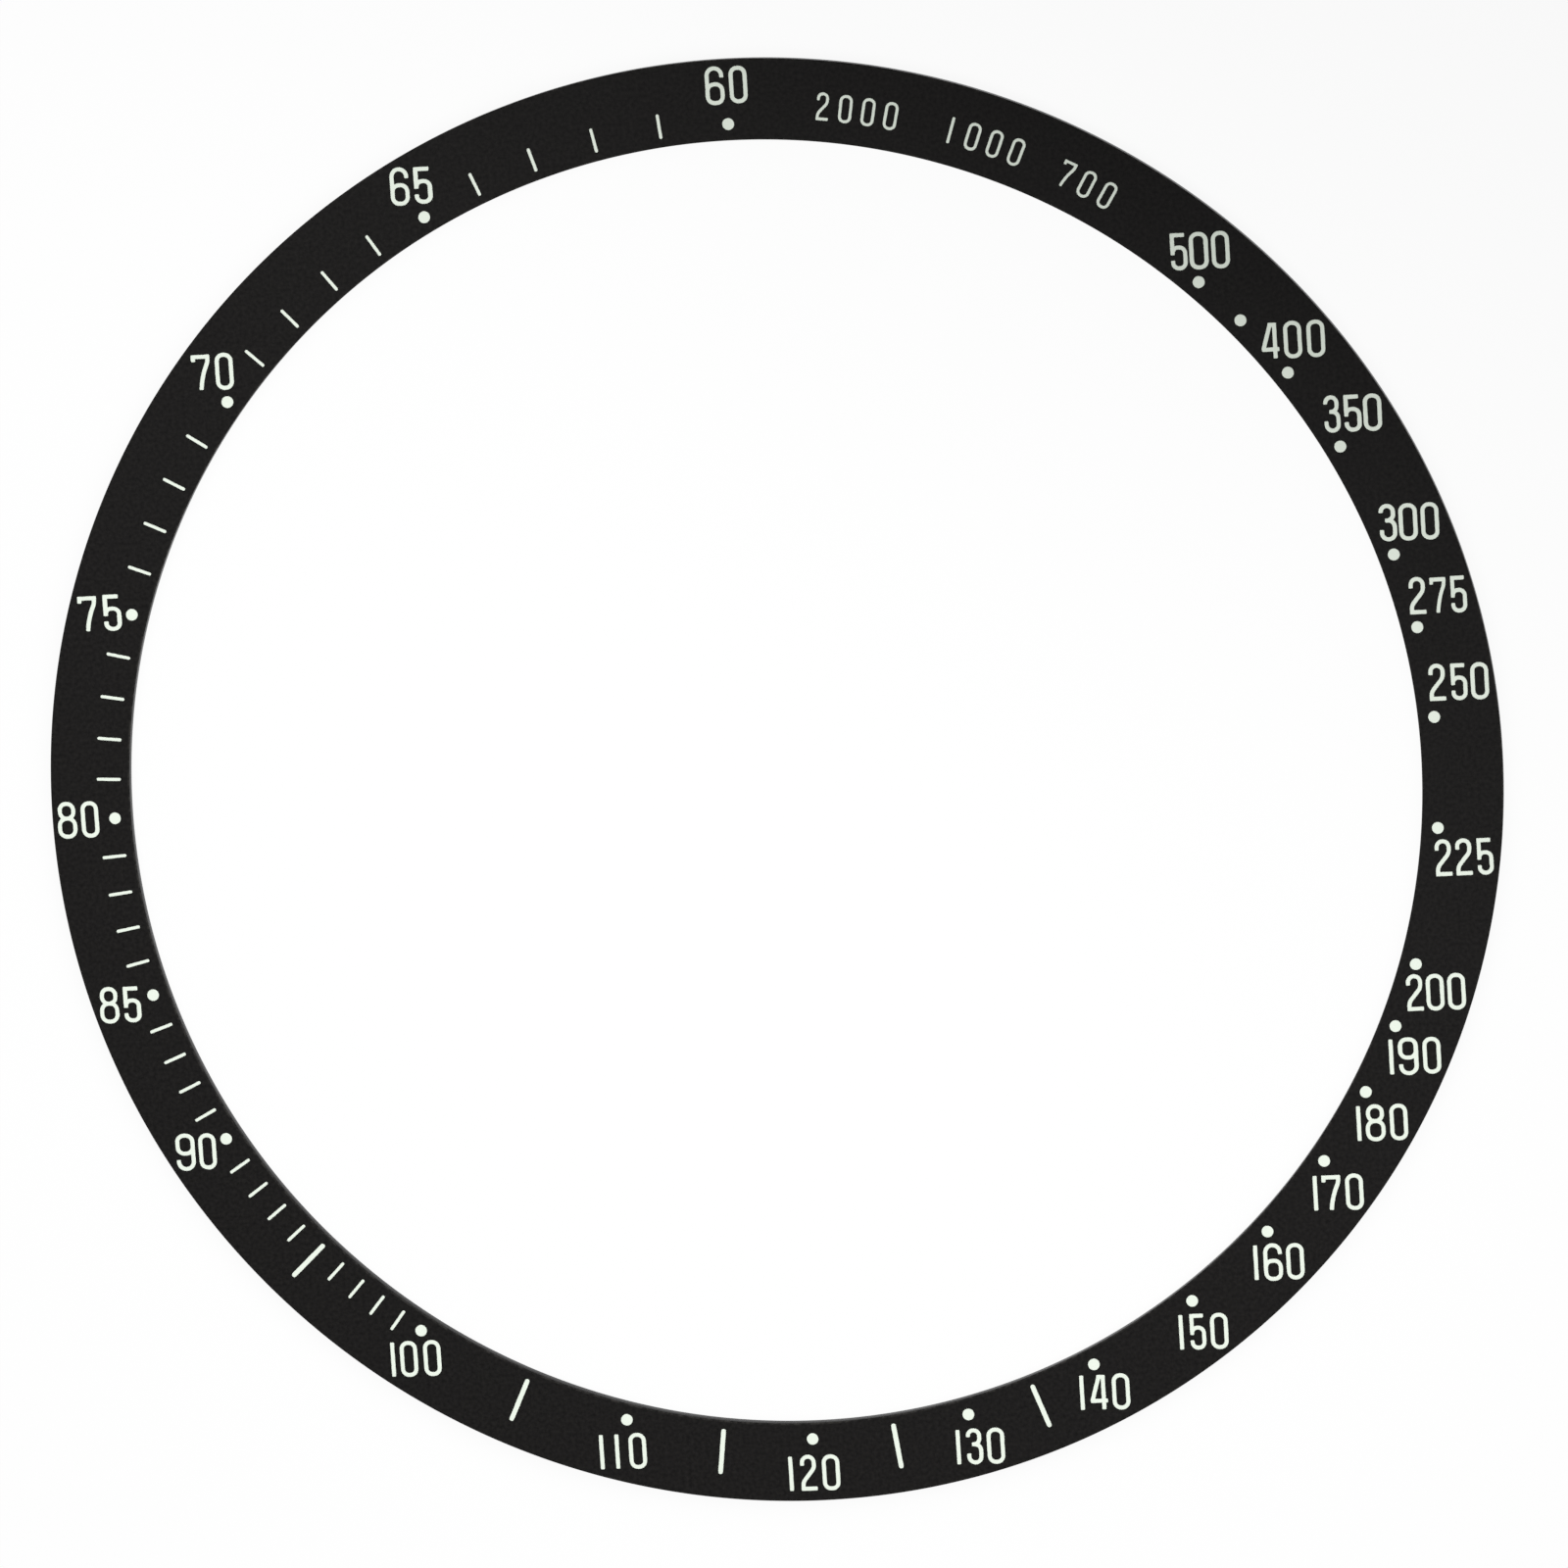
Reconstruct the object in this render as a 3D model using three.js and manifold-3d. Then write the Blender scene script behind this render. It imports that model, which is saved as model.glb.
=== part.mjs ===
// Tachymeter bezel insert: a flat ring of black anodised aluminium that lies in the bezel of a
// chronograph. Its face carries a speed scale of dots and ticks, each one an etched recess with its
// own fill of white lacquer, and a die-cut adhesive ring on the back holds it in the bezel's seat.
// Millimetres. The origin is the ring's centre at the foot of the adhesive, +Z points out of the
// face, and +Y points to 60, where the scale ends after one full turn.

import * as THREE from 'three';
import { mergeVertices } from 'three/addons/utils/BufferGeometryUtils.js';
import Module from 'manifold-3d';

const wasm = await Module();
wasm.setup();

// Driving dimensions of the aluminium ring
const OUTER_DIAMETER = 38.6;
const BAND_WIDTH = 2.125;
const RING_THICKNESS = 0.4;
const EDGE_BREAK = 0.04;

// Driving dimensions of the adhesive ring
const ADHESIVE_THICKNESS = 0.1;
const ADHESIVE_INSET = 0.15;

// Driving dimensions of the scale: each margin is the bare band between the bore and a mark
const TICK_MARGIN = 0.225;
const SHORT_TICK_LENGTH = 0.66;
const SHORT_TICK_WIDTH = 0.095;
const LONG_TICK_LENGTH = 1.25;
const LONG_TICK_WIDTH = 0.14;
const DOT_MARGIN = 0.27;
const DOT_DIAMETER = 0.325;
const RECESS_DEPTH = 0.05;
const LACQUER_CLEARANCE = 0.005;

// One overrun for every cutter, so that no cut ends on the face it opens
const CUT_OVERRUN = 0.05;

// Facets round each turned ring, and divisions of each arc in an outline, of two facets each
const RING_SEGMENTS = 180;
const ADHESIVE_SEGMENTS = 120;
const DOT_DIVISIONS = 10;
const TICK_END_DIVISIONS = 2;

// The scale: a hand that needs 3600 / v seconds for one measured length points to v units an hour,
// and it goes round once in 60 seconds. Each range is its first value, its last value and its step.
// A long tick halves each gap between two dots of its span, and a short tick marks each value of its
// range that has no other mark.
const UNITS_PER_TURN = 60;
const DOT_RANGES = [[60, 90, 5], [100, 200, 10], [225, 300, 25], [350, 500, 50]];
const LONG_TICK_SPAN = [90, 140];
const SHORT_TICK_RANGE = [60, 100, 1];

// Sizes that follow from the driving dimensions
const outerRadius = OUTER_DIAMETER / 2;
const boreRadius = outerRadius - BAND_WIDTH;
const ringFoot = ADHESIVE_THICKNESS;
const faceHeight = ringFoot + RING_THICKNESS;
const recessFloor = faceHeight - RECESS_DEPTH;

const anodisedBlack = new THREE.MeshStandardMaterial({
  name: 'black_anodised', color: 0x1d1d1f, roughness: 0.45, metalness: 0.6,
});
const whiteLacquer = new THREE.MeshStandardMaterial({
  name: 'white_lacquer', color: 0xeff3ea, roughness: 0.5, metalness: 0,
});
const clearAdhesive = new THREE.MeshStandardMaterial({
  name: 'adhesive', color: 0xd8d2bd, roughness: 0.7, metalness: 0,
});

function valuesOf([first, last, step]) {
  const count = Math.floor((last - first) / step) + 1;
  return Array.from({ length: count }, (_, index) => first + index * step);
}

// The clockwise turn from 60 to a value, seen from the face
function scaleAngle(value) {
  return 2 * Math.PI * UNITS_PER_TURN / value;
}

// A closed section of radius and height, turned into a ring about Z
function turnedRing(section, segments) {
  const profile = section.map(([radius, height]) => new THREE.Vector2(radius, height));
  profile.push(profile[0].clone());
  return new THREE.LatheGeometry(profile, segments).rotateX(Math.PI / 2);
}

// An outline in the XY plane, extruded up from z = 0
function upright(outline, height, divisions) {
  return new THREE.ExtrudeGeometry(outline, {
    depth: height, bevelEnabled: false, curveSegments: divisions,
  });
}

function dotOutline(diameter) {
  return new THREE.Shape().absarc(0, 0, diameter / 2, 0, 2 * Math.PI, false);
}

// A bar along Y with round ends, centred on the origin
function tickOutline(length, width) {
  const endRadius = width / 2;
  const endCentre = length / 2 - endRadius;
  const outline = new THREE.Shape();
  outline.absarc(0, endCentre, endRadius, 0, Math.PI, false);
  outline.absarc(0, -endCentre, endRadius, Math.PI, 2 * Math.PI, false);
  outline.closePath();
  return outline;
}

// One kind of mark. Its outline takes the gap all round by which the lacquer stays inside the
// recess, and its radius is where the middle of the mark lies.
const dotKind = {
  radius: boreRadius + DOT_MARGIN + DOT_DIAMETER / 2,
  outline: (gap) => dotOutline(DOT_DIAMETER - 2 * gap),
  divisions: DOT_DIVISIONS,
};
const shortTickKind = {
  radius: boreRadius + TICK_MARGIN + SHORT_TICK_LENGTH / 2,
  outline: (gap) => tickOutline(SHORT_TICK_LENGTH - 2 * gap, SHORT_TICK_WIDTH - 2 * gap),
  divisions: TICK_END_DIVISIONS,
};
const longTickKind = {
  radius: boreRadius + TICK_MARGIN + LONG_TICK_LENGTH / 2,
  outline: (gap) => tickOutline(LONG_TICK_LENGTH - 2 * gap, LONG_TICK_WIDTH - 2 * gap),
  divisions: TICK_END_DIVISIONS,
};

const dotValues = DOT_RANGES.flatMap(valuesOf);
const spannedDots = dotValues.filter((v) => v >= LONG_TICK_SPAN[0] && v <= LONG_TICK_SPAN[1]);
const longTickValues = spannedDots.slice(1).map((value, index) => (value + spannedDots[index]) / 2);
const shortTickValues = valuesOf(SHORT_TICK_RANGE)
  .filter((value) => !dotValues.includes(value) && !longTickValues.includes(value));

const marksOf = (kind, values) => values.map((value) => ({ kind, value }));
const dotMarks = marksOf(dotKind, dotValues);
const longTickMarks = marksOf(longTickKind, longTickValues);
const shortTickMarks = marksOf(shortTickKind, shortTickValues);

// What cuts a mark's recess, at its place on the ring and open above the face
function recessCutter({ kind, value }) {
  return upright(kind.outline(0), RECESS_DEPTH + CUT_OVERRUN, kind.divisions)
    .translate(0, kind.radius, recessFloor)
    .rotateZ(-scaleAngle(value));
}

function toSolid(geometry) {
  geometry.deleteAttribute('normal');
  geometry.deleteAttribute('uv');
  const merged = mergeVertices(geometry);
  return new wasm.Manifold(new wasm.Mesh({
    numProp: 3,
    vertProperties: new Float32Array(merged.attributes.position.array),
    triVerts: new Uint32Array(merged.index.array),
  }));
}

function toGeometry(solid) {
  const { vertProperties, triVerts } = solid.getMesh();
  const geometry = new THREE.BufferGeometry();
  geometry.setAttribute('position', new THREE.BufferAttribute(vertProperties, 3));
  geometry.setIndex(new THREE.BufferAttribute(triVerts, 1));
  return geometry;
}

// The aluminium ring: a flat washer with all four edges broken, and a recess for every mark
function insertRing() {
  const washer = turnedRing([
    [boreRadius + EDGE_BREAK, ringFoot],
    [outerRadius - EDGE_BREAK, ringFoot],
    [outerRadius, ringFoot + EDGE_BREAK],
    [outerRadius, faceHeight - EDGE_BREAK],
    [outerRadius - EDGE_BREAK, faceHeight],
    [boreRadius + EDGE_BREAK, faceHeight],
    [boreRadius, faceHeight - EDGE_BREAK],
    [boreRadius, ringFoot + EDGE_BREAK],
  ], RING_SEGMENTS);
  const marks = [...dotMarks, ...longTickMarks, ...shortTickMarks];
  const etched = marks.reduce(
    (solid, mark) => solid.subtract(toSolid(recessCutter(mark))),
    toSolid(washer),
  );
  const mesh = new THREE.Mesh(toGeometry(etched), anodisedBlack);
  mesh.name = 'insert_ring';
  return mesh;
}

// The adhesive ring: a die-cut band that stays back from both rims of the aluminium
function adhesiveRing() {
  const innerRadius = boreRadius + ADHESIVE_INSET;
  const rimRadius = outerRadius - ADHESIVE_INSET;
  const mesh = new THREE.Mesh(turnedRing([
    [innerRadius, 0],
    [rimRadius, 0],
    [rimRadius, ADHESIVE_THICKNESS],
    [innerRadius, ADHESIVE_THICKNESS],
  ], ADHESIVE_SEGMENTS), clearAdhesive);
  mesh.name = 'adhesive_ring';
  return mesh;
}

// The lacquer in one recess, flush with the face. The outer group turns it to its value.
function lacquerFill({ kind, value }, name) {
  const outline = kind.outline(LACQUER_CLEARANCE);
  const mesh = new THREE.Mesh(upright(outline, RECESS_DEPTH, kind.divisions), whiteLacquer);
  mesh.name = name;
  mesh.position.set(0, kind.radius, recessFloor);
  const station = new THREE.Group();
  station.rotation.z = -scaleAngle(value);
  station.add(mesh);
  return station;
}

const insert = new THREE.Group();
insert.name = 'tachymeter_bezel_insert';
insert.add(insertRing(), adhesiveRing());
for (const mark of dotMarks) insert.add(lacquerFill(mark, `dot_${mark.value}`));
for (const mark of longTickMarks) insert.add(lacquerFill(mark, `long_tick_${mark.value}`));

export default insert;
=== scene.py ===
import math

import bmesh
import bpy
from mathutils import Matrix, Vector, noise


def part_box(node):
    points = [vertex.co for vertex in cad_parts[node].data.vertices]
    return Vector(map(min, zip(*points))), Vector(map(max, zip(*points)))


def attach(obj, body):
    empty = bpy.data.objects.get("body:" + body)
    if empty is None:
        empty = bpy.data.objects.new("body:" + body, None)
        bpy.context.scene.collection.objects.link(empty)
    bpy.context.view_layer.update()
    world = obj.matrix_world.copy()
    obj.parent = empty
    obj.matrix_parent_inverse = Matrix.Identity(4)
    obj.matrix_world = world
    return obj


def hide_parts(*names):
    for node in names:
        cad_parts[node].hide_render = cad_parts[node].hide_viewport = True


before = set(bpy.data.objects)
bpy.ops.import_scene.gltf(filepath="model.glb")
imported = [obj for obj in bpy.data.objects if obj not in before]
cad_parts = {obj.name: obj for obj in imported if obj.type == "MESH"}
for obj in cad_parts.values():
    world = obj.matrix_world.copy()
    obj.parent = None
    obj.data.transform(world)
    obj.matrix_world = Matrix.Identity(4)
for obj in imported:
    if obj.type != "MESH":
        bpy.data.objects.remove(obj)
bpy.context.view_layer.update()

# Units: every form below is modelled in millimetres and scaled to metres when it becomes a piece
MM = 0.001
UP = Vector((0, 0, 1))


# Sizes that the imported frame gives, in millimetres
ring_low, ring_high = (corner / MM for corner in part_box("insert_ring"))
film_low, film_high = (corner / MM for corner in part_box("adhesive_ring"))
dot_low, dot_high = (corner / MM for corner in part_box("dot_60"))
outer_radius = ring_high.x
face_height = ring_high.z
ring_foot = ring_low.z
bore_radius = min(v.co.xy.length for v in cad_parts["insert_ring"].data.vertices) / MM
film_bore_radius = min(v.co.xy.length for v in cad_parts["adhesive_ring"].data.vertices) / MM
film_rim_radius = film_high.x
recess_floor = dot_low.z
dot_radius = (dot_low.y + dot_high.y) / 2
dot_diameter = dot_high.y - dot_low.y

# The ring and the film: a rim is an edge that turns by more than the sharp angle
EDGE_BREAK = 0.04
EDGE_STEPS = 3
RING_STEPS = 720
SHARP_ANGLE = math.radians(80)
FILM_EDGE_BREAK = 0.02

# The scale's ticks
TICK_MARGIN = 0.225
SHORT_TICK_LENGTH = 0.66
SHORT_TICK_WIDTH = 0.095
LONG_TICK_LENGTH = 1.25
LONG_TICK_WIDTH = 0.14
TICK_END_SHARE = 0.42

# Values of the scale, which goes round once for 60 units an hour
UNITS_PER_TURN = 60
DOT_VALUES = [*range(60, 91, 5), *range(100, 201, 10), 225, 250, 275, 300, *range(350, 501, 50)]
LONG_TICK_VALUES = range(95, 136, 10)
SHORT_TICK_VALUES = [v for v in range(61, 100) if v % 5]

# The lacquer in its recesses: a gap all round it, and a shoulder round its top
LACQUER_GAP = 0.005
CUT_OVERRUN = 0.05
SHOULDER_WIDTH = 0.012
SHOULDER_DROP = 0.004
DOT_STEPS = 40
CORNER_STEPS = 3

# The ragged edge of hand-wiped lacquer
RAGGED_REACH = 0.0045
RAGGED_LENGTH = 0.11
RAGGED_SEED = 5

# The figures: height, stroke, rounding of a stroke's end, pitch and radius of those that follow the
# ring, the longest facet and the widest turn of a stroke, and how near two points are merged
FIGURE_HEIGHT = 1.008
FIGURE_STROKE = 0.12
FIGURE_END_ROUND = 0.025
ARC_FIGURE_HEIGHT = 0.76
ARC_FIGURE_STROKE = 0.088
ARC_FIGURE_PITCH = 0.6
ARC_FIGURE_RADIUS = 18.1
PEN_STEP = 0.06
PEN_STEP_ANGLE = 15
WELD = 0.00002

# The least upward share of the normal of a face that looks up, and of one that is level
UPWARD_SHARE = 0.5
LEVEL_SHARE = 0.999

# Where each figure's middle lies from its dot, right and up, and the gaps between its digits
FIGURE_PLACES = {
    60: (0.01, 1.02, 0.12), 65: (-0.29, 0.84, 0.12), 70: (-0.34, 0.82, 0.12),
    75: (-0.86, 0.08, 0.16), 80: (-1.00, 0.00, 0.11), 85: (-0.91, -0.23, 0.12),
    90: (-0.84, -0.32, 0.09), 100: (-0.19, -0.76, 0.13, 0.15), 110: (-0.16, -0.86, 0.3, 0.25),
    120: (-0.01, -0.93, 0.19, 0.14), 130: (0.27, -0.88, 0.15, 0.1),
    140: (0.25, -0.76, 0.15, 0.11), 150: (0.26, -0.84, 0.17, 0.11),
    160: (0.26, -0.83, 0.14, 0.09), 170: (0.33, -0.86, 0.11, 0.11),
    180: (0.39, -0.84, 0.11, 0.11), 190: (0.47, -0.82, 0.12, 0.11),
    200: (0.49, -0.77, 0.07, 0.08), 225: (0.65, -0.81, 0.09, 0.12),
    250: (0.69, 0.90, 0.13, 0.08), 275: (0.58, 0.82, 0.1, 0.11),
    300: (0.44, 0.84, 0.04, 0.08), 350: (0.37, 0.86, 0.09, 0.04),
    400: (0.18, 0.86, 0.11, 0.12), 500: (0.08, 0.82, 0.04, 0.07),
}

# The figures whose digits are cut wider or narrower than the rest
DIGIT_WIDTH_SHARES = {
    65: (1, 1.1), 70: (1.03, 1.02), 75: (1.05, 1.1), 85: (1, 1.06), 90: (1.04, 1),
    150: (1, 0.96, 1), 170: (1, 1.03, 1), 190: (1, 1.05, 1), 225: (1, 1, 0.96),
    250: (1, 0.97, 1), 275: (1, 0.87, 0.95), 300: (1.05, 1.03, 1), 350: (0.97, 1.03, 1.02),
    500: (1, 1.06, 1),
}

# High values in smaller figures that follow the ring, each centred on its own place of the scale
ARC_VALUES = [2000, 1000, 700]

# The photograph's view: the camera leans off the ring's axis towards one side
CAMERA_DISTANCE = 250.9
CAMERA_LEAN = math.radians(11.223)
CAMERA_SIDE = math.radians(52.567)
CAMERA_ROLL = math.radians(-55.693)
CAMERA_SHIFT_RIGHT = 0.347
CAMERA_SHIFT_UP = 0.125
CAMERA_LENS = 218.16
SENSOR_WIDTH = 36


RECESS, FILL = "recess", "fill"
recess_depth = face_height - recess_floor


def gap_for(use):
    return 0 if use == RECESS else LACQUER_GAP


def scale_angle(value):
    """The clockwise turn from 60 to a value, seen from the face."""
    return 2 * math.pi * UNITS_PER_TURN / value


# Forms

def turned_ring(inner, outer, low, high, edge_break):
    """A flat ring with all four edges rounded."""
    form = bmesh.new()
    section = [(inner, low), (outer, low), (outer, high), (inner, high)]
    corners = [form.verts.new((radius, 0, height)) for radius, height in section]
    sides = [form.edges.new(pair) for pair in zip(corners, corners[1:] + corners[:1])]
    bmesh.ops.spin(
        form, geom=corners + sides, cent=(0, 0, 0), axis=UP, angle=2 * math.pi,
        steps=RING_STEPS, use_merge=True, use_duplicate=False,
    )
    bmesh.ops.recalc_face_normals(form, faces=form.faces)
    rims = [edge for edge in form.edges if edge.calc_face_angle() > SHARP_ANGLE]
    bmesh.ops.bevel(
        form, geom=rims, offset=edge_break, segments=EDGE_STEPS, profile=0.5,
        affect="EDGES", material=-1,
    )
    return form


class Pen:
    """Draws a flat band of one width: straight runs are extruded from its nib and arcs are spun."""

    def __init__(self, width, start, heading):
        self.form = bmesh.new()
        self.place = Vector((start[0], start[1], 0))
        self.heading = math.radians(heading)
        reach = self.left() * width / 2
        ends = [self.form.verts.new(self.place + reach), self.form.verts.new(self.place - reach)]
        self.first_nib = self.nib = self.form.edges.new(ends)

    def ahead(self):
        return Vector((math.cos(self.heading), math.sin(self.heading), 0))

    def left(self):
        return Vector((-math.sin(self.heading), math.cos(self.heading), 0))

    def step_in(self, length):
        """Moves the whole start ahead, before anything is drawn."""
        step = self.ahead() * length
        bmesh.ops.translate(self.form, verts=self.form.verts, vec=step)
        self.place += step

    def run(self, length):
        steps = max(1, round(length / PEN_STEP))
        for _ in range(steps):
            drawn = bmesh.ops.extrude_edge_only(self.form, edges=[self.nib])["geom"]
            ends = [part for part in drawn if isinstance(part, bmesh.types.BMVert)]
            bmesh.ops.translate(self.form, verts=ends, vec=self.ahead() * length / steps)
            self.nib = self.form.edges.get(ends)
        self.place += self.ahead() * length

    def turn(self, radius, angle):
        """A positive angle in degrees turns left, and a negative one right."""
        side = math.copysign(1, angle)
        centre = self.place + self.left() * radius * side
        swing = math.radians(angle)
        steps = max(
            math.ceil(abs(angle) / PEN_STEP_ANGLE),
            math.ceil(abs(swing) * radius / PEN_STEP),
        )
        drawn = bmesh.ops.spin(
            self.form, geom=[self.nib, *self.nib.verts], cent=centre, axis=UP, angle=swing,
            steps=steps, use_merge=False, use_duplicate=False,
        )["geom_last"]
        self.nib = next(part for part in drawn if isinstance(part, bmesh.types.BMEdge))
        self.place = centre - self.left_after(swing) * radius * side
        self.heading += swing

    def left_after(self, swing):
        heading = self.heading + swing
        return Vector((-math.sin(heading), math.cos(heading), 0))

    def round_ends(self, radius):
        corners = [*self.first_nib.verts, *self.nib.verts]
        bmesh.ops.bevel(
            self.form, geom=corners, offset=radius, segments=CORNER_STEPS, profile=0.5,
            affect="VERTICES", material=-1,
        )


def drawn_stroke(line, height, stroke, use):
    """One stroke of a digit as a flat band. A closed one is a loop, and an open one has two round
    ends, which stay clear of the recess as its sides do."""
    start, heading, moves, closed = line
    gap = gap_for(use)
    pen = Pen(stroke - 2 * gap, (start[0] * height, start[1] * height), heading)
    if not closed:
        pen.step_in(gap)
    last = len(moves) - 1
    for index, move in enumerate(moves):
        if isinstance(move, tuple):
            pen.turn(move[0] * height, move[1])
        else:
            ends = 0 if closed else (index == 0) + (index == last)
            pen.run(move * height - ends * gap)
    if closed:
        bmesh.ops.remove_doubles(pen.form, verts=pen.form.verts, dist=WELD)
    else:
        pen.round_ends(FIGURE_END_ROUND)
    return pen.form


def loop_stroke(centre, half_width, half_height, corner):
    """A closed stroke round a box with round corners."""
    upright, level = half_height - corner, half_width - corner
    moves = [
        upright, (corner, 90), 2 * level, (corner, 90), 2 * upright, (corner, 90),
        2 * level, (corner, 90), upright,
    ]
    return (centre[0] + half_width, centre[1]), 90, moves, True


def open_stroke(start, heading, *moves):
    return start, heading, list(moves), False


# The centre lines of the ten digits, as shares of a figure's height. A plain number in a stroke is
# a straight run, and a pair is an arc's radius and turn.
DIGIT_STROKE_SHARES = {
    "0": [loop_stroke((0, 0), 0.18, 0.435, 0.165)],
    "1": [open_stroke((0, -0.47), 90, 0.94)],
    "2": [
        open_stroke((-0.157, 0.2), 90, 0.09, (0.157, -180), 0.07, (0.25, -40), 0.3, (0.25, 40), 0.1),
        open_stroke((-0.213, -0.42), 0, 0.44),
    ],
    "3": [
        open_stroke((-0.195, 0.255), 90, 0.035, (0.15, -180), 0.075, (0.155, -90), 0.055),
        open_stroke((-0.187, -0.175), 270, 0.095, (0.161, 180), 0.17, (0.16, 90), 0.08),
    ],
    "4": [
        open_stroke((0.1, -0.47), 90, 0.87),
        open_stroke((-0.002, 0.447), 253.3, 0.728),
        open_stroke((-0.075, 0.41), 0, 0.235),
        open_stroke((-0.25, -0.23), 0, 0.465),
    ],
    "5": [
        open_stroke((-0.213, 0.43), 0, 0.386),
        open_stroke((-0.153, 0.43), 270, 0.46),
        open_stroke(
            (-0.153, -0.09), 90, 0.06, (0.14, -90), 0.035, (0.15, -90), 0.24, (0.15, -90),
            0.025, (0.15, -90), 0.06,
        ),
    ],
    "6": [
        loop_stroke((0.015, -0.207), 0.195, 0.243, 0.17),
        open_stroke((-0.18, -0.2), 90, 0.46, (0.192, -180), 0.06),
    ],
    "7": [
        open_stroke((-0.247, 0.41), 0, 0.447),
        open_stroke((-0.187, 0.41), 270, 0.135),
        open_stroke((0.187, 0.47), 270, 0.1, (0.45, -24), (2, 18), 0.05),
    ],
    "8": [
        loop_stroke((0, 0.2475), 0.18, 0.1975, 0.17),
        loop_stroke((0, -0.1935), 0.205, 0.2435, 0.19),
    ],
}


def mark_solid(flat, use):
    """A flat form made a closed solid from z = 0 up: a recess's cutter, or its fill of lacquer, whose
    top has a rounded shoulder."""
    depth = recess_depth + CUT_OVERRUN if use == RECESS else recess_depth - SHOULDER_DROP
    raised = bmesh.ops.extrude_face_region(flat, geom=flat.faces[:])["geom"]
    tops = [part for part in raised if isinstance(part, bmesh.types.BMVert)]
    bmesh.ops.translate(flat, verts=tops, vec=UP * depth)
    bmesh.ops.recalc_face_normals(flat, faces=flat.faces)
    if use == FILL:
        faces = [face for face in flat.faces if face.normal.z > UPWARD_SHARE]
        bmesh.ops.inset_region(
            flat, faces=faces, thickness=SHOULDER_WIDTH, depth=SHOULDER_DROP,
            use_boundary=True, use_even_offset=True,
        )
    return flat


def helper_object(form):
    mesh = bpy.data.meshes.new("helper")
    form.to_mesh(mesh)
    helper = bpy.data.objects.new("helper", mesh)
    bpy.context.scene.collection.objects.link(helper)
    return helper


def combined(base, tools, operation):
    """What is left when each tool is joined to the base or cut from it."""
    body = helper_object(base)
    helpers = [helper_object(tool) for tool in tools]
    for helper in helpers:
        step = body.modifiers.new("combine", "BOOLEAN")
        step.operation = operation
        step.solver = "EXACT"
        step.object = helper
    result = bmesh.new()
    result.from_object(body, bpy.context.evaluated_depsgraph_get())
    for helper in [body, *helpers]:
        bpy.data.meshes.remove(helper.data)
    return result


def digit_form(digit, height, stroke, use):
    """A digit as one closed solid, with its middle on the Z axis."""
    strokes = DIGIT_STROKE_SHARES["6" if digit == "9" else digit]
    solids = [mark_solid(drawn_stroke(line, height, stroke, use), use) for line in strokes]
    form = combined(solids[0], solids[1:], "UNION")
    bmesh.ops.remove_doubles(form, verts=form.verts, dist=WELD)
    if digit == "9":
        half_turn = Matrix.Rotation(math.pi, 3, UP)
        bmesh.ops.rotate(form, verts=form.verts, cent=(0, 0, 0), matrix=half_turn)
    low, high = span(form)
    bmesh.ops.translate(form, verts=form.verts, vec=(-(low + high) / 2, 0, 0))
    return form


def span(form):
    """The least and greatest x of a form."""
    places = [vert.co.x for vert in form.verts]
    return min(places), max(places)


def placed_copy(form, matrix):
    copy = form.copy()
    bmesh.ops.transform(copy, matrix=matrix, verts=copy.verts)
    return copy


def joined(forms):
    """Several forms in one, left as separate shells."""
    whole = bmesh.new()
    for form in forms:
        mesh = bpy.data.meshes.new("part")
        form.to_mesh(mesh)
        whole.from_mesh(mesh)
        bpy.data.meshes.remove(mesh)
    return whole


def ragged(form):
    """Moves the outline a little, the same way at every height."""
    noise.seed_set(RAGGED_SEED)
    for vert in form.verts:
        place = Vector((vert.co.x, vert.co.y, 0)) / RAGGED_LENGTH
        drift = noise.noise_vector(place) * RAGGED_REACH
        vert.co.x += drift.x
        vert.co.y += drift.y
    return form


# Marks: each one gives the cutter of its recess, or its fill, in its place on the ring

def station(value):
    return Matrix.Rotation(-scale_angle(value), 4, "Z")


def at_floor(form, matrix):
    return placed_copy(form, Matrix.Translation(UP * recess_floor) @ matrix)


def dot_form(value, use):
    flat = bmesh.new()
    radius = dot_diameter / 2 + LACQUER_GAP - gap_for(use)
    bmesh.ops.create_circle(flat, cap_ends=True, segments=DOT_STEPS, radius=radius)
    place = station(value) @ Matrix.Translation((0, dot_radius, 0))
    return at_floor(mark_solid(flat, use), place)


def tick_form(value, length, width, use):
    gap = gap_for(use)
    pen = Pen(width - 2 * gap, (0, bore_radius + TICK_MARGIN + gap), heading=90)
    pen.run(length - 2 * gap)
    pen.round_ends(TICK_END_SHARE * width)
    return at_floor(mark_solid(pen.form, use), station(value))


digit_store = {}


def stored_digit(digit, height, stroke, use):
    key = (digit, height, use)
    if key not in digit_store:
        digit_store[key] = digit_form(digit, height, stroke, use)
    return digit_store[key]


def figure_form(value, use):
    """An upright figure beside its dot."""
    right, above, *gaps = FIGURE_PLACES[value]
    names = str(value)
    shares = DIGIT_WIDTH_SHARES.get(value, [1] * len(names))
    digits = []
    for name, share in zip(names, shares):
        shaped = stored_digit(name, FIGURE_HEIGHT, FIGURE_STROKE, use)
        digits.append(placed_copy(shaped, Matrix.Diagonal((share, 1, 1, 1))))
    margin = 2 * gap_for(use)
    widths = [span(digit)[1] - span(digit)[0] + margin for digit in digits]
    dot = station(value) @ Vector((0, dot_radius, 0))
    left = dot.x + right - (sum(widths) + sum(gaps)) / 2
    forms = []
    for digit, width, gap in zip(digits, widths, [*gaps, 0]):
        place = Matrix.Translation((left + width / 2, dot.y + above, 0))
        forms.append(at_floor(digit, place))
        left += width + gap
    return joined(forms)


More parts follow.
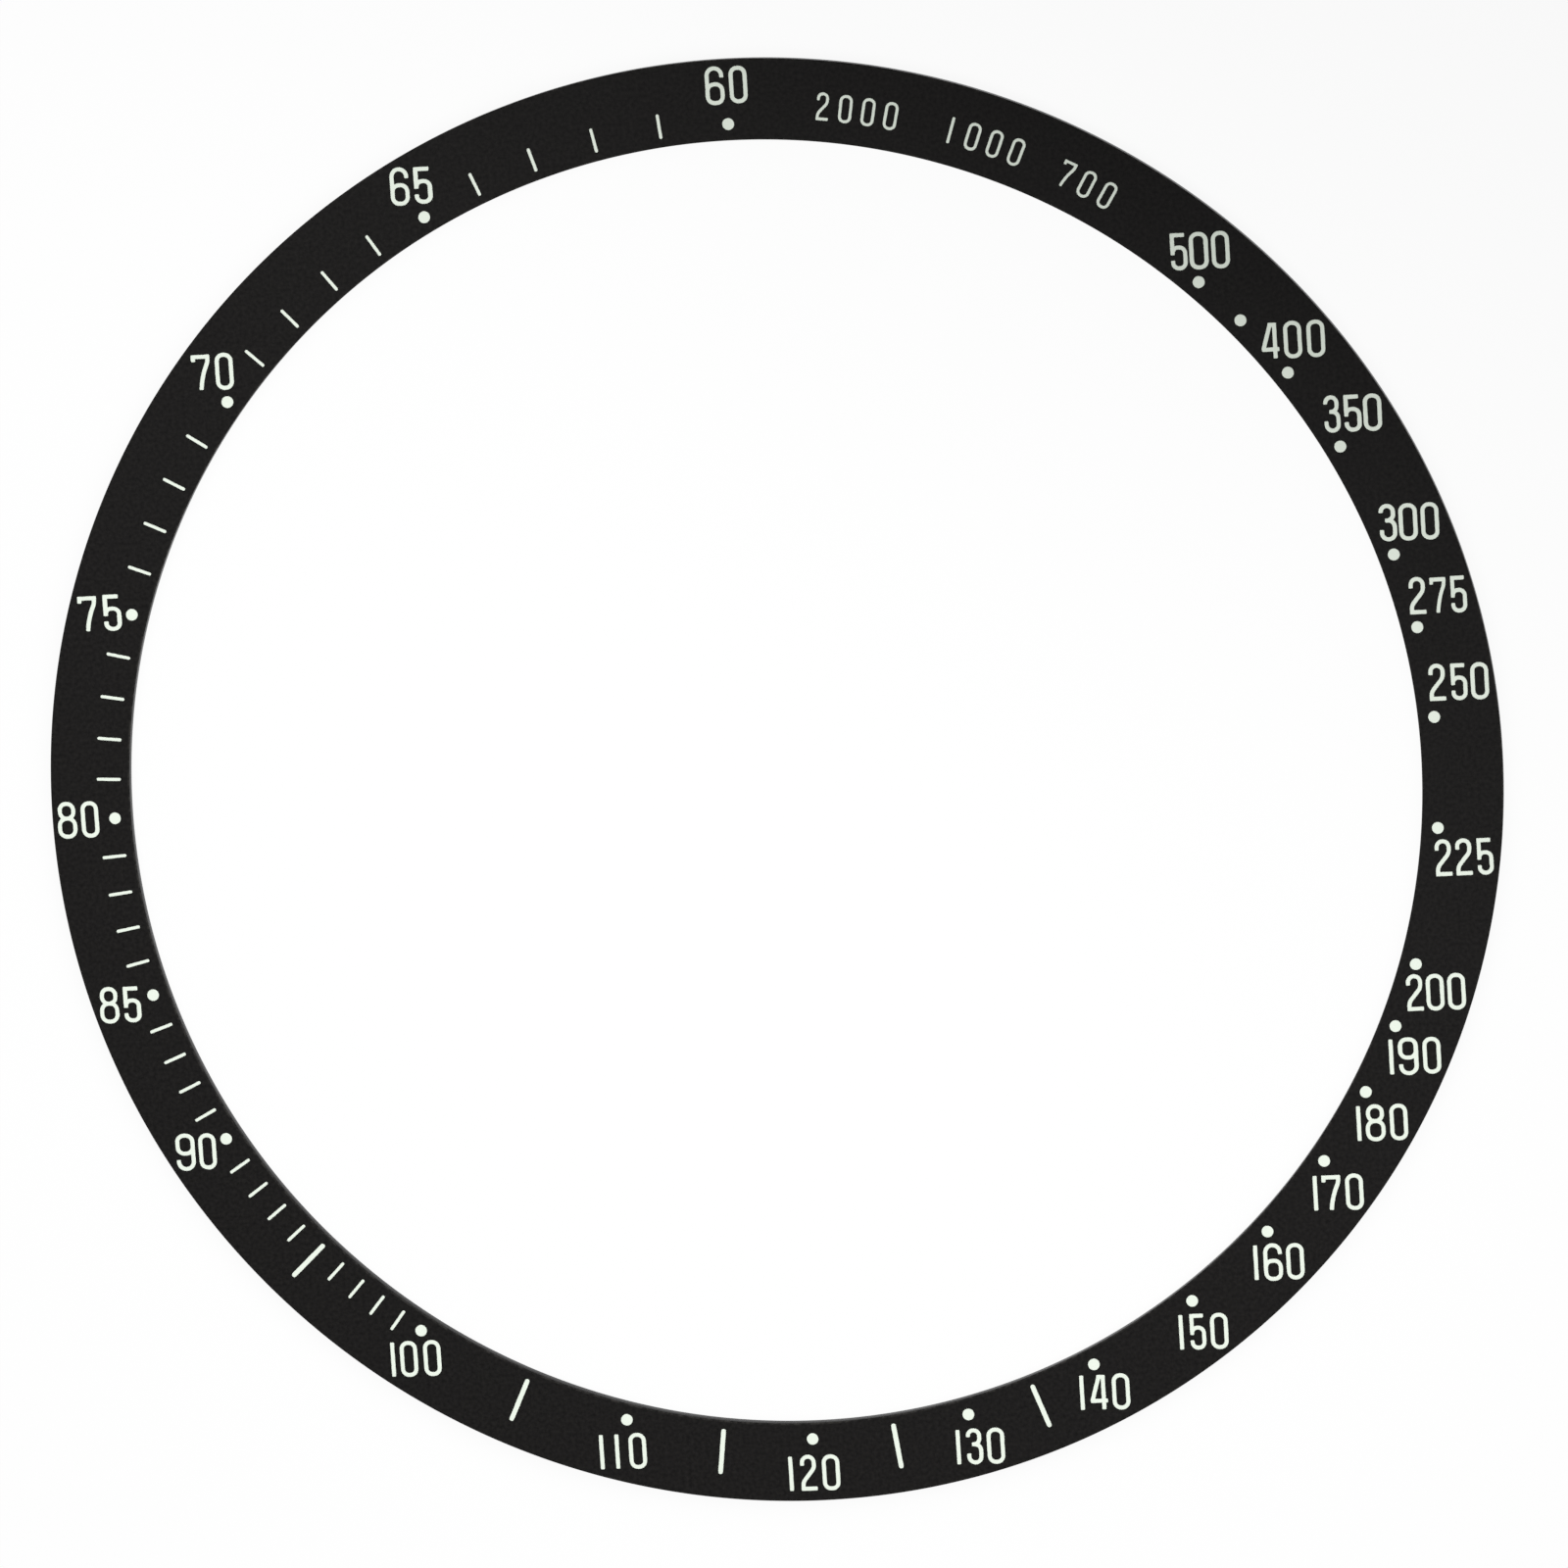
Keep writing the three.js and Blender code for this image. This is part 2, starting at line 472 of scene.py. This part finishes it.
def arc_figure_form(value, use):
    """A figure whose digits follow the ring, centred on its place of the scale."""
    digits = [stored_digit(d, ARC_FIGURE_HEIGHT, ARC_FIGURE_STROKE, use) for d in str(value)]
    first = -(len(digits) - 1) / 2
    forms = []
    for index, digit in enumerate(digits):
        turn = (first + index) * ARC_FIGURE_PITCH / ARC_FIGURE_RADIUS
        upright = Matrix.Translation((0, ARC_FIGURE_RADIUS, 0))
        forms.append(at_floor(digit, station(value) @ Matrix.Rotation(-turn, 4, "Z") @ upright))
    return joined(forms)


def short_tick_form(value, use):
    return tick_form(value, SHORT_TICK_LENGTH, SHORT_TICK_WIDTH, use)


def long_tick_form(value, use):
    return tick_form(value, LONG_TICK_LENGTH, LONG_TICK_WIDTH, use)


MARKS = [
    ("dot", dot_form, DOT_VALUES),
    ("long_tick", long_tick_form, LONG_TICK_VALUES),
    ("short_tick", short_tick_form, SHORT_TICK_VALUES),
    ("figure", figure_form, FIGURE_PLACES),
    ("arc_figure", arc_figure_form, ARC_VALUES),
]


# Finishes. Spots, lines and relief are sized in millimetres. A relief share is how much a pattern
# stands out beside the grain.

# Black anodising
DEEP_DYE = (0.0045, 0.0042, 0.0042, 1)
PALE_DYE = (0.0135, 0.0126, 0.0121, 1)
WORN_DYE = (0.05, 0.047, 0.043, 1)
SHEEN_CLOUD = 1.6
DYE_MOTTLE = 0.1
ETCHED_GRAIN = 0.03
WEAR_SPOT = 0.14
WEAR_REACH = 0.05
WEAR_SHARE = 0.7
TURNED_LINE = 0.02
TURNED_LINE_SHARES = (0.02, 0.02, 1)
ANODISED_ROUGHNESS = 0.36
SHEEN_CLOUD_ROUGHNESS = 0.12
MOTTLE_ROUGHNESS = 0.08
WALL_SMOOTHING = 0.2
MOTTLE_RELIEF_SHARE = 1.5
TURNED_LINE_RELIEF_SHARE = 2
ANODISED_RELIEF = 0.004

# White lacquer
GREEN_WHITE = (0.775, 0.855, 0.745, 1)
CLEAR_WHITE = (0.84, 0.9, 0.81, 1)
THIN_LACQUER = (0.22, 0.22, 0.2, 1)
LACQUER_CLOUD = 0.35
LACQUER_GRAIN = 0.04
THIN_SPOT = 0.055
THIN_SHARE = 0.6
LACQUER_ROUGHNESS = 0.5
LACQUER_CLOUD_ROUGHNESS = 0.1
THIN_RELIEF_SHARE = 1.5
LACQUER_RELIEF = 0.003

# Adhesive film
DARK_GLUE = (0.56, 0.51, 0.38, 1)
PALE_GLUE = (0.74, 0.70, 0.58, 1)
TISSUE = (0.86, 0.84, 0.76, 1)
GLUE_CLOUD = 0.7
GLUE_GRAIN = 0.08
FIBRE_WIDTH = 0.05
FIBRE_SHARES = (0.08, 1, 1)
TISSUE_SHARE = 0.35
GLUE_ROUGHNESS = 0.5
GLUE_CLOUD_ROUGHNESS = 0.2
TISSUE_RELIEF_SHARE = 1.5
FILM_RELIEF = 0.006


class Signal:
    """A shader socket that adds, subtracts and multiplies like a number."""

    def __init__(self, finish, socket):
        self.finish = finish
        self.socket = socket

    def combine(self, operation, first, second, clamp=False):
        settings = {"operation": operation, "use_clamp": clamp}
        return self.finish.node("ShaderNodeMath", settings, {0: first, 1: second})

    def __add__(self, other):
        return self.combine("ADD", self, other)

    def __sub__(self, other):
        return self.combine("SUBTRACT", self, other)

    def __rsub__(self, other):
        return self.combine("SUBTRACT", other, self)

    def __mul__(self, other):
        return self.combine("MULTIPLY", self, other)

    __radd__ = __add__
    __rmul__ = __mul__

    def lesser(self, other):
        return self.combine("MINIMUM", self, other)

    def greater(self, other):
        return self.combine("MAXIMUM", self, other)

    def held(self):
        """The value, held between 0 and 1."""
        return self.combine("ADD", self, 0, clamp=True)

    def past(self, level, contrast):
        """How far the value is past a level, made steeper and held between 0 and 1."""
        return ((self - level) * contrast).held()

    def above(self, level):
        """How many millimetres a place in metres lies above a level in millimetres."""
        return self * (1 / MM) - level

    def below(self, level):
        return level - self * (1 / MM)


class Finish:
    """A material, or the world, whose nodes all come from one method."""

    def __init__(self, owner):
        owner.use_nodes = True
        self.owner = owner
        self.tree = owner.node_tree
        self.tree.nodes.clear()

    def node(self, kind, settings=None, sockets=None, output=0):
        made = self.tree.nodes.new(kind)
        for name, value in (settings or {}).items():
            setattr(made, name, value)
        for name, value in (sockets or {}).items():
            if isinstance(value, Signal):
                self.tree.links.new(value.socket, made.inputs[name])
            else:
                made.inputs[name].default_value = value
        return Signal(self, made.outputs[output]) if made.outputs else None

    def place(self):
        return self.node("ShaderNodeTexCoord", output="Object")

    def height(self):
        return self.node("ShaderNodeSeparateXYZ", {}, {0: self.place()}, output="Z")

    def stretched(self, shares):
        """The place, with each direction's length multiplied by its share."""
        sockets = {0: self.place(), 1: shares}
        return self.node("ShaderNodeVectorMath", {"operation": "MULTIPLY"}, sockets)

    def radius(self):
        """The distance from the ring's axis."""
        sockets = {0: self.stretched((1, 1, 0))}
        return self.node("ShaderNodeVectorMath", {"operation": "LENGTH"}, sockets, "Value")

    def speckle_on(self, place, size, detail):
        """Cloudy noise from 0 to 1 whose spots are about size millimetres across."""
        return self.node(
            "ShaderNodeTexNoise", {"noise_dimensions": "3D"},
            {"Vector": place, "Scale": 1 / (size * MM), "Detail": detail}, output="Fac",
        )

    def speckle(self, size, detail=2):
        return self.speckle_on(self.place(), size, detail)

    def blend_colours(self, share, first, second):
        return self.node(
            "ShaderNodeMix", {"data_type": "RGBA"}, {0: share, 6: first, 7: second}, output=2,
        )

    def surface(self, shader):
        self.node("ShaderNodeOutputMaterial", {}, {"Surface": shader})
        return self.owner

    def coated(self, colour, roughness, gloss, relief, strength, depth):
        """A coat with a colour, a roughness and a gloss, and a relief that is so deep."""
        sockets = {"Height": relief, "Strength": strength, "Distance": depth * MM}
        shader = self.node("ShaderNodeBsdfPrincipled", {}, {
            "Base Color": colour,
            "Roughness": roughness,
            "Specular IOR Level": gloss,
            "Normal": self.node("ShaderNodeBump", {}, sockets),
        })
        return self.surface(shader)


def anodised_black():
    """Dyed, etched aluminium: nearly black, with a dull sheen and a fine grain. Its turned walls are
    smoother than its face and have fine lines round them, and its edges wear paler in places."""
    finish = Finish(bpy.data.materials.new("black_anodised"))
    cloud = finish.speckle(SHEEN_CLOUD, detail=3)
    mottle = finish.speckle(DYE_MOTTLE)
    grain = finish.speckle(ETCHED_GRAIN)
    lines = finish.speckle_on(finish.stretched(TURNED_LINE_SHARES), TURNED_LINE, detail=2)
    below_face = finish.height().below(face_height)
    wall = (below_face * (1 / EDGE_BREAK)).held()
    radius = finish.radius()
    from_rims = radius.above(bore_radius).lesser(radius.below(outer_radius))
    edge = (1 - from_rims.greater(below_face) * (1 / WEAR_REACH)).held()
    worn = edge * finish.speckle(WEAR_SPOT, detail=4).past(level=0.45, contrast=7)
    dye = finish.blend_colours(mottle.past(level=0.25, contrast=2), DEEP_DYE, PALE_DYE)
    colour = finish.blend_colours(WEAR_SHARE * worn, dye, WORN_DYE)
    roughness = (
        ANODISED_ROUGHNESS + SHEEN_CLOUD_ROUGHNESS * cloud + MOTTLE_ROUGHNESS * mottle
        - WALL_SMOOTHING * wall
    )
    relief = grain + MOTTLE_RELIEF_SHARE * mottle + TURNED_LINE_RELIEF_SHARE * wall * lines
    return finish.coated(
        colour, roughness, gloss=0.035, relief=relief, strength=0.4, depth=ANODISED_RELIEF,
    )


def white_lacquer():
    """Matt white lacquer with a faint green cast, wiped in by hand: thin at a few specks, where the
    dark metal shows through."""
    finish = Finish(bpy.data.materials.new("white_lacquer"))
    cloud = finish.speckle(LACQUER_CLOUD)
    grain = finish.speckle(LACQUER_GRAIN)
    thin = finish.speckle(THIN_SPOT, detail=3).past(level=0.69, contrast=9)
    paint = finish.blend_colours(cloud, GREEN_WHITE, CLEAR_WHITE)
    colour = finish.blend_colours(THIN_SHARE * thin, paint, THIN_LACQUER)
    roughness = LACQUER_ROUGHNESS + LACQUER_CLOUD_ROUGHNESS * cloud
    relief = grain - THIN_RELIEF_SHARE * thin
    return finish.coated(
        colour, roughness, gloss=0.35, relief=relief, strength=0.35, depth=LACQUER_RELIEF,
    )


def adhesive_film():
    """Double-sided tissue film: pale cloudy glue over fibres that lie one way and wander."""
    finish = Finish(bpy.data.materials.new("adhesive"))
    cloud = finish.speckle(GLUE_CLOUD, detail=4)
    grain = finish.speckle(GLUE_GRAIN, detail=3)
    fibres = finish.speckle_on(finish.stretched(FIBRE_SHARES), FIBRE_WIDTH, detail=4)
    tissue = fibres.past(level=0.375, contrast=4)
    glue = finish.blend_colours(cloud, DARK_GLUE, PALE_GLUE)
    colour = finish.blend_colours(TISSUE_SHARE * tissue, glue, TISSUE)
    roughness = GLUE_ROUGHNESS + GLUE_CLOUD_ROUGHNESS * cloud
    relief = grain + TISSUE_RELIEF_SHARE * tissue
    return finish.coated(
        colour, roughness, gloss=0.4, relief=relief, strength=0.6, depth=FILM_RELIEF,
    )


# Pieces

def piece(name, form, material, slot, *replaced):
    """A finished piece: its mesh in metres, on the root body, with its material."""
    bmesh.ops.scale(form, vec=(MM, MM, MM), verts=form.verts)
    form.normal_update()
    for face in form.faces:
        face.smooth = abs(face.normal.z) < LEVEL_SHARE
    mesh = bpy.data.meshes.new(name)
    form.to_mesh(mesh)
    mesh.materials.append(material)
    made = bpy.data.objects.new(name, mesh)
    bpy.context.scene.collection.objects.link(made)
    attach(made, "root")
    if replaced:
        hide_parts(*replaced)
    return made


def etched_ring(material):
    """The aluminium ring with a recess for every mark."""
    blank = turned_ring(bore_radius, outer_radius, ring_foot, face_height, EDGE_BREAK)
    cutters = joined([ragged(make(v, RECESS)) for _, make, values in MARKS for v in values])
    form = combined(blank, [cutters], "DIFFERENCE")
    return piece("etched_ring", form, material, "black_anodised", "insert_ring")


def film_ring(material):
    form = turned_ring(film_bore_radius, film_rim_radius, film_low.z, film_high.z, FILM_EDGE_BREAK)
    return piece("film_ring", form, material, "adhesive", "adhesive_ring")


def lacquer_fills(material):
    for kind, make, values in MARKS:
        for value in values:
            form = ragged(make(value, FILL))
            name = f"{kind}_{value}"
            replaced = [name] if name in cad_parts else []
            piece(f"{name}_fill", form, material, "white_lacquer", *replaced)


# Stage

WORLD_LIGHT = 0.18
LAMP_POWER = 0.053
LAMP_LENGTH = 77
LAMP_WIDTH = 100
LAMP_PLACE = (-7, -11, 59)
LAMP_AIM = (-47, -75, 0)
WHITE = (1, 1, 1, 1)
PAPER = (0.93, 0.93, 0.93, 1)
FLOOR_SIZE = 900
FLOOR_CLEARANCE = 0.01
FLOOR_SHADOW_SHARE = 0.08


def white_to_eye(finish):
    """1 for rays that show the background itself: seen straight, mirrored or through glass."""
    straight, mirrored, through = (
        finish.node("ShaderNodeLightPath", output=ray)
        for ray in ("Is Camera Ray", "Is Glossy Ray", "Is Transmission Ray")
    )
    return (straight + mirrored + through).held()


def white_world():
    world = bpy.data.worlds.new("studio")
    bpy.context.scene.world = world
    finish = Finish(world)
    strength = WORLD_LIGHT + (1 - WORLD_LIGHT) * white_to_eye(finish)
    sky = finish.node("ShaderNodeBackground", {}, {"Color": WHITE, "Strength": strength})
    finish.node("ShaderNodeOutputWorld", {}, {"Surface": sky})


def pale_floor():
    finish = Finish(bpy.data.materials.new("pale_floor"))
    paper = finish.node("ShaderNodeBsdfDiffuse", {}, {"Color": PAPER})
    glow = finish.node("ShaderNodeEmission", {}, {"Color": WHITE, "Strength": 1})
    share = (1 - FLOOR_SHADOW_SHARE) * white_to_eye(finish)
    surface = finish.node("ShaderNodeMixShader", {}, {0: share, 1: paper, 2: glow})
    form = bmesh.new()
    bmesh.ops.create_grid(form, x_segments=1, y_segments=1, size=FLOOR_SIZE * MM / 2)
    bmesh.ops.translate(form, verts=form.verts, vec=-UP * FLOOR_CLEARANCE * MM)
    mesh = bpy.data.meshes.new("floor")
    form.to_mesh(mesh)
    mesh.materials.append(finish.surface(surface))
    floor = bpy.data.objects.new("floor", mesh)
    bpy.context.scene.collection.objects.link(floor)


def soft_lamp():
    lamp = bpy.data.lights.new("softbox", "AREA")
    lamp.energy = LAMP_POWER
    lamp.shape = "RECTANGLE"
    lamp.size = LAMP_LENGTH * MM
    lamp.size_y = LAMP_WIDTH * MM
    holder = bpy.data.objects.new("softbox", lamp)
    holder.location = Vector(LAMP_PLACE) * MM
    beam = Vector(LAMP_AIM) - Vector(LAMP_PLACE)
    holder.rotation_euler = beam.to_track_quat("-Z", "Y").to_euler()
    bpy.context.scene.collection.objects.link(holder)


def photo_camera():
    camera = bpy.data.cameras.new("photo_view")
    camera.lens = CAMERA_LENS
    camera.sensor_fit = "HORIZONTAL"
    camera.sensor_width = SENSOR_WIDTH
    camera.clip_start = MM
    turn = (
        Matrix.Rotation(CAMERA_SIDE, 4, "Z") @ Matrix.Rotation(CAMERA_LEAN, 4, "Y")
        @ Matrix.Rotation(CAMERA_ROLL, 4, "Z")
    )
    offset = turn @ Vector((CAMERA_SHIFT_RIGHT, CAMERA_SHIFT_UP, CAMERA_DISTANCE))
    holder = bpy.data.objects.new("photo_view", camera)
    holder.matrix_world = Matrix.Translation((offset + UP * face_height) * MM) @ turn
    bpy.context.scene.collection.objects.link(holder)
    bpy.context.scene.camera = holder


photo_camera()
white_world()
pale_floor()
soft_lamp()

etched_ring(anodised_black())
film_ring(adhesive_film())
lacquer_fills(white_lacquer())

view = bpy.context.scene.view_settings
view.view_transform = "Standard"
